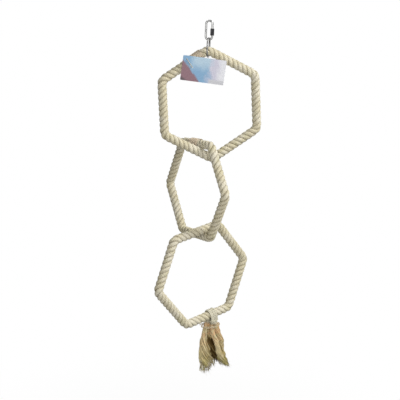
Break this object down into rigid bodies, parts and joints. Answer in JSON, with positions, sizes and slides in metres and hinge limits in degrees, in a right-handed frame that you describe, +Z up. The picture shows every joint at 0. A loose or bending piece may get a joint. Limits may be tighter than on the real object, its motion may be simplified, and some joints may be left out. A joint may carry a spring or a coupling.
{
  "type": "rope bird swing",
  "caption": "Hanging bird swing of linked hexagonal rope rings on a wire hanger and quick link, with a frayed rope tassel below and a card hang tag.",
  "frame": {"origin": "hanging point, inside the top bow of the quick link", "axes": "+Z up along the hanging line; the top ring lies in the XZ plane, with its tag towards -Y"},
  "size_m": [0.2591, 0.2578, 0.8623],
  "materials": {
    "link_steel": "zinc plated",
    "nut_steel": "dark zinc plated",
    "hanger_steel": "zinc plated",
    "core_steel": "plain wire",
    "ferrule_aluminium": "crimped",
    "ring_rope": "three-strand twisted cotton",
    "whipping_twine": "smooth twine",
    "tassel_rope": "frayed cotton",
    "tie_twine": "smooth twine",
    "tag_card": "printed, satin"
  },
  "bodies": {
    "link": {"quick_link": "link_steel"},
    "nut": {"quick_link_nut": "nut_steel"},
    "hanger": {"hanger_ring": "hanger_steel"},
    "top_ring": {"top_ring_core": "core_steel", "top_ring_ferrule": "ferrule_aluminium", "top_ring_rope": "ring_rope", "top_ring_whipping": "whipping_twine"},
    "tag": {"hang_tag": "tag_card", "tag_tie": "tie_twine"},
    "middle_ring": {"middle_ring_core": "core_steel", "middle_ring_ferrule": "ferrule_aluminium", "middle_ring_rope": "ring_rope", "middle_ring_whipping": "whipping_twine"},
    "bottom_ring": {"bottom_ring_core": "core_steel", "bottom_ring_ferrule": "ferrule_aluminium", "bottom_ring_rope": "ring_rope"},
    "tassel": {"tassel_fold": "tassel_rope", "tassel_front_leg": "tassel_rope", "tassel_back_leg": "tassel_rope", "tassel_tie": "tie_twine"}
  },
  "joints": [
    {"name": "nut_slide", "type": "slide", "parent": "link", "child": "nut", "axis": [0, 0, 1], "range_m": [0, 0.0094]},
    {"name": "hanger_swing", "type": "hinge", "parent": "link", "child": "hanger", "pos_m": [0, 0, -0.0415], "axis": [0.9397, -0.342, 0], "range_deg": [-30, 30]},
    {"name": "top_ring_swing", "type": "hinge", "parent": "hanger", "child": "top_ring", "pos_m": [0, 0, -0.08377], "axis": [0, 1, 0], "range_deg": [-25, 25]},
    {"name": "tag_swing", "type": "hinge", "parent": "top_ring", "child": "tag", "pos_m": [-0.04584, 0, -0.09634], "axis": [-0.8192, 0, -0.5736], "range_deg": [0, 50]},
    {"name": "middle_ring_swing", "type": "hinge", "parent": "top_ring", "child": "middle_ring", "pos_m": [0.00474, 0, -0.31677], "axis": [0.9063, 0, -0.4226], "range_deg": [-25, 25]},
    {"name": "bottom_ring_swing", "type": "hinge", "parent": "middle_ring", "child": "bottom_ring", "pos_m": [0.01249, -0.01919, -0.51574], "axis": [0.3737, -0.9249, 0.0698], "range_deg": [-25, 25]},
    {"name": "tassel_swing", "type": "hinge", "parent": "bottom_ring", "child": "tassel", "pos_m": [0.03319, -0.00953, -0.71805], "axis": [0.8881, 0.4141, 0.1994], "range_deg": [-30, 30]}
  ]
}
